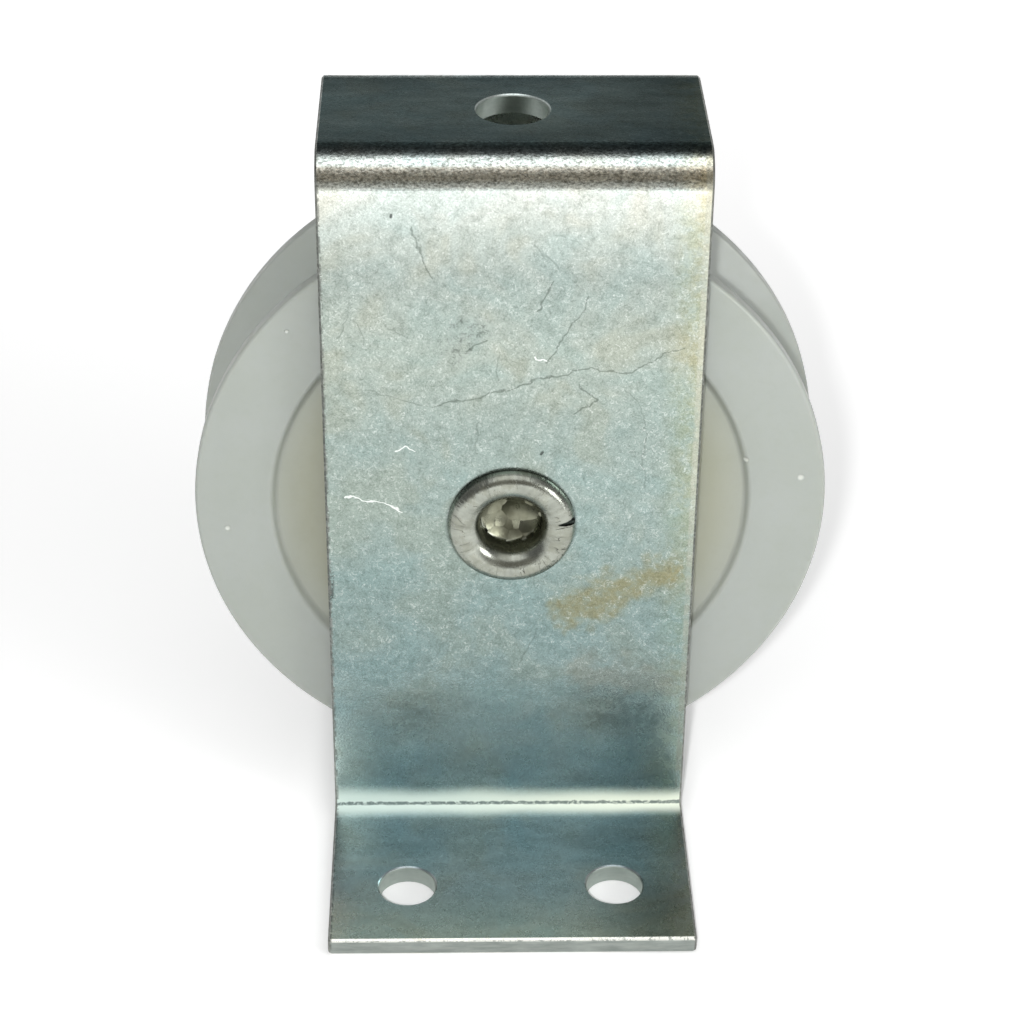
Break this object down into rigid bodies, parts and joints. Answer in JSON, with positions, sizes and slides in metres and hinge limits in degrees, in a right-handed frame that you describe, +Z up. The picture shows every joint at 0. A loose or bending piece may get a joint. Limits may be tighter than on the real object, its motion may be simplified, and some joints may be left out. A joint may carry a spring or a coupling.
{
  "type": "wire rope sheave",
  "caption": "Nylon rope sheave turning on a rivet axle in a folded, plated steel bracket with two drilled feet and a drilled top plate.",
  "frame": {"origin": "on the ground under the middle of the part, between its two feet", "axes": "+X across the strip, in the plane of the wheel; +Y along the axle, away from the rivet's flared end; +Z up, from the feet to the top plate"},
  "size_m": [0.0872, 0.0892, 0.1063],
  "materials": {
    "plated_strip": "zinc plate with a bluish passivation, scratched and lightly stained",
    "natural_nylon": "milky, slightly translucent natural nylon with a satin skin",
    "rivet_steel": "bright plated steel, drawn and cracked where it was flared",
    "sleeve_steel": "plain bright tube, lightly greased"
  },
  "bodies": {
    "frame": {"bracket": "plated_strip", "axle_rivet": "rivet_steel", "spacer_sleeve": "sleeve_steel"},
    "wheel": {"sheave": "natural_nylon"}
  },
  "joints": [
    {"name": "sheave_spin", "type": "hinge", "parent": "frame", "child": "wheel", "pos_m": [0, 0, 0.0514], "axis": [0, 1, 0], "continuous": true}
  ]
}
